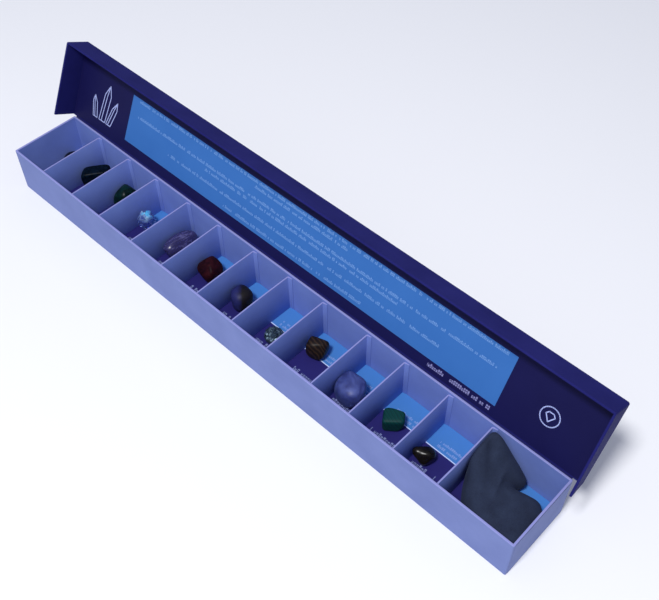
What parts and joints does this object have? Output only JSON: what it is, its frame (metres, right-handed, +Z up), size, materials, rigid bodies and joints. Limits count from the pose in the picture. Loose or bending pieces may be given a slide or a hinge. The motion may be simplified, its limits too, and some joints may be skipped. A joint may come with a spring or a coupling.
{
  "type": "mineral specimen box",
  "caption": "Long narrow display box of wrapped board with an open hinged lid, card dividers, loose mineral stones in the small cells and a soft felt bag in the large cell.",
  "frame": {"origin": "centre of the tray's underside, on the surface the box stands on", "axes": "+X along the tray towards the large cell, +Y from the front to the hinge, +Z up"},
  "size_m": [0.468, 0.0827, 0.0972],
  "materials": {
    "lavender_paper": "matte",
    "navy_paper": "satin",
    "floor_print": "satin",
    "lid_print": "satin",
    "navy_cloth": "matte",
    "slate_felt": "matte",
    "hematite": "polished",
    "obsidian": "polished",
    "moss_agate": "polished",
    "rock_crystal": "satin",
    "fluorite": "polished",
    "red_jasper": "polished",
    "sodalite": "polished",
    "pyrite": "satin",
    "tiger_eye": "polished",
    "chalcedony": "polished",
    "malachite": "satin",
    "smoky_quartz": "polished"
  },
  "bodies": {
    "tray": {"tray_back_wall": "lavender_paper", "tray_bottom_board": "lavender_paper", "tray_front_wall": "lavender_paper", "tray_left_wall": "lavender_paper", "tray_right_wall": "lavender_paper", "floor_liner": "floor_print", "hinge_cloth_lower": "navy_cloth", "divider_01": "lavender_paper", "divider_02": "lavender_paper", "divider_03": "lavender_paper", "divider_04": "lavender_paper", "divider_05": "lavender_paper", "divider_06": "lavender_paper", "divider_07": "lavender_paper", "divider_08": "lavender_paper", "divider_09": "lavender_paper", "divider_10": "lavender_paper", "divider_11": "lavender_paper", "divider_12": "lavender_paper"},
    "lid": {"lid_panel": "navy_paper", "lid_front_lip": "navy_paper", "lid_left_lip": "navy_paper", "lid_right_lip": "navy_paper", "lid_lining": "lid_print", "hinge_cloth_upper": "navy_cloth"},
    "hematite_stone": {"hematite_stone": "hematite"},
    "obsidian_stone": {"obsidian_stone": "obsidian"},
    "moss_agate_stone": {"moss_agate_stone": "moss_agate"},
    "rock_crystal_stone": {"rock_crystal_stone": "rock_crystal"},
    "fluorite_stone": {"fluorite_stone": "fluorite"},
    "red_jasper_stone": {"red_jasper_stone": "red_jasper"},
    "sodalite_stone": {"sodalite_stone": "sodalite"},
    "pyrite_stone": {"pyrite_stone": "pyrite"},
    "tiger_eye_stone": {"tiger_eye_stone": "tiger_eye"},
    "chalcedony_stone": {"chalcedony_stone": "chalcedony"},
    "malachite_stone": {"malachite_stone": "malachite"},
    "smoky_quartz_stone": {"smoky_quartz_stone": "smoky_quartz"},
    "felt_bag": {"felt_bag": "slate_felt"}
  },
  "joints": [
    {"name": "lid_hinge", "type": "hinge", "parent": "tray", "child": "lid", "pos_m": [0, 0.0279, 0.0372], "axis": [-1, 0, 0], "range_deg": [-116.3, 58.7]},
    {"name": "hematite_lift", "type": "slide", "parent": "tray", "child": "hematite_stone", "axis": [0, 0, 1], "range_m": [0, 0.06]},
    {"name": "obsidian_lift", "type": "slide", "parent": "tray", "child": "obsidian_stone", "axis": [0, 0, 1], "range_m": [0, 0.06]},
    {"name": "moss_agate_lift", "type": "slide", "parent": "tray", "child": "moss_agate_stone", "axis": [0, 0, 1], "range_m": [0, 0.06]},
    {"name": "rock_crystal_lift", "type": "slide", "parent": "tray", "child": "rock_crystal_stone", "axis": [0, 0, 1], "range_m": [0, 0.06]},
    {"name": "fluorite_lift", "type": "slide", "parent": "tray", "child": "fluorite_stone", "axis": [0, 0, 1], "range_m": [0, 0.06]},
    {"name": "red_jasper_lift", "type": "slide", "parent": "tray", "child": "red_jasper_stone", "axis": [0, 0, 1], "range_m": [0, 0.06]},
    {"name": "sodalite_lift", "type": "slide", "parent": "tray", "child": "sodalite_stone", "axis": [0, 0, 1], "range_m": [0, 0.06]},
    {"name": "pyrite_lift", "type": "slide", "parent": "tray", "child": "pyrite_stone", "axis": [0, 0, 1], "range_m": [0, 0.06]},
    {"name": "tiger_eye_lift", "type": "slide", "parent": "tray", "child": "tiger_eye_stone", "axis": [0, 0, 1], "range_m": [0, 0.06]},
    {"name": "chalcedony_lift", "type": "slide", "parent": "tray", "child": "chalcedony_stone", "axis": [0, 0, 1], "range_m": [0, 0.06]},
    {"name": "malachite_lift", "type": "slide", "parent": "tray", "child": "malachite_stone", "axis": [0, 0, 1], "range_m": [0, 0.06]},
    {"name": "smoky_quartz_lift", "type": "slide", "parent": "tray", "child": "smoky_quartz_stone", "axis": [0, 0, 1], "range_m": [0, 0.06]},
    {"name": "felt_bag_lift", "type": "slide", "parent": "tray", "child": "felt_bag", "axis": [0, 0, 1], "range_m": [0, 0.06]}
  ]
}
